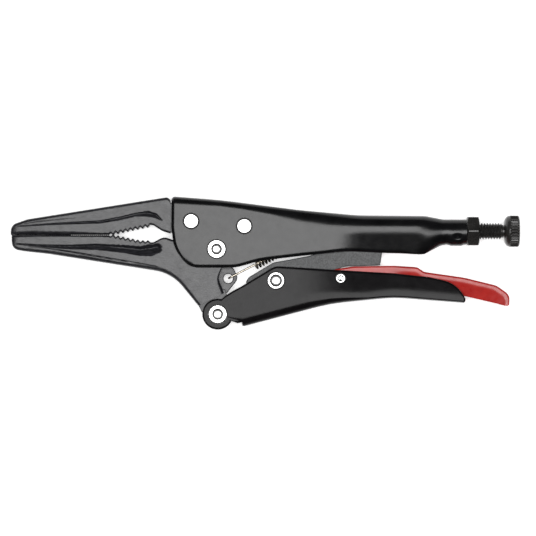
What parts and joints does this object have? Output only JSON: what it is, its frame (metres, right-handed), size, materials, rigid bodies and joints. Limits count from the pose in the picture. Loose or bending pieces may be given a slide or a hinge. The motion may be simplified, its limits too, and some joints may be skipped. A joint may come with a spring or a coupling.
{
  "type": "locking pliers",
  "caption": "Long-nose locking pliers with toggle link, release lever, lock nut and knurled adjusting screw.",
  "frame": {"origin": "centre of the bounding box in plan, at the plane the tool lies on", "axes": "+X from the jaws' tip to the adjusting knob, +Y towards the fixed upper handle, +Z along the rivets, up from the surface the tool lies on"},
  "size_m": [0.23, 0.0603, 0.0148],
  "materials": {
    "handle_steel": "black oxide on pressed sheet, satin",
    "jaw_steel": "black oxide on forged steel, satin",
    "link_steel": "grey phosphate, grainy",
    "rivet_steel": "bright nickel plate",
    "lever_red": "red enamel, semi-gloss",
    "spring_steel": "drawn wire",
    "screw_steel": "black oxide, oiled"
  },
  "bodies": {
    "upper_handle": {"upper_handle": "handle_steel", "fixed_jaw": "jaw_steel", "front_jaw_rivet": "rivet_steel", "rear_jaw_rivet": "rivet_steel", "jaw_pivot_rivet": "rivet_steel", "spring_bracket": "link_steel", "tension_spring": "spring_steel"},
    "moving_jaw": {"moving_jaw": "jaw_steel"},
    "lower_handle": {"lower_handle": "handle_steel", "handle_pivot_rivet": "rivet_steel", "toggle_rivet": "rivet_steel", "release_lever_rivet": "rivet_steel"},
    "toggle_link": {"toggle_link": "link_steel"},
    "release_lever": {"release_lever": "lever_red"},
    "adjusting_screw": {"adjusting_screw": "screw_steel"},
    "adjusting_knob": {"adjusting_knob": "screw_steel"},
    "lock_nut": {"lock_nut": "screw_steel"}
  },
  "joints": [
    {"name": "jaw_pivot", "type": "hinge", "parent": "upper_handle", "child": "moving_jaw", "pos_m": [-0.0219, 0.0063, 0.0074], "axis": [0, 0, 1], "range_deg": [0, 28], "deforming": ["tension_spring"]},
    {"name": "handle_pivot", "type": "hinge", "parent": "moving_jaw", "child": "lower_handle", "pos_m": [-0.0214, -0.0231, 0.0074], "axis": [0, 0, 1], "range_deg": [-76.21, 0]},
    {"name": "toggle_pivot", "type": "hinge", "parent": "lower_handle", "child": "toggle_link", "pos_m": [0.0049, -0.0079, 0.0074], "axis": [0, 0, 1], "range_deg": [0, 78.73]},
    {"name": "release_lever_pivot", "type": "hinge", "parent": "lower_handle", "child": "release_lever", "pos_m": [0.0341, -0.0069, 0.0074], "axis": [0, 0, 1], "range_deg": [0, 8]},
    {"name": "screw_travel", "type": "slide", "parent": "upper_handle", "child": "adjusting_screw", "axis": [1, 0, 0], "range_m": [0, 0.01251]},
    {"name": "knob_turn", "type": "hinge", "parent": "adjusting_screw", "child": "adjusting_knob", "pos_m": [0.111, 0.0144, 0.0074], "axis": [1, 0, 0], "range_deg": [0, 3600]},
    {"name": "lock_nut_turn", "type": "hinge", "parent": "upper_handle", "child": "lock_nut", "pos_m": [0.094, 0.0144, 0.0074], "axis": [1, 0, 0], "range_deg": [0, 720]}
  ],
  "couplings": [
    {"joint": "handle_pivot", "follows": "jaw_pivot", "ratio": -2.72},
    {"joint": "toggle_pivot", "follows": "jaw_pivot", "ratio": 2.81},
    {"joint": "screw_travel", "follows": "knob_turn", "m_per_rad": 0.00019894}
  ]
}
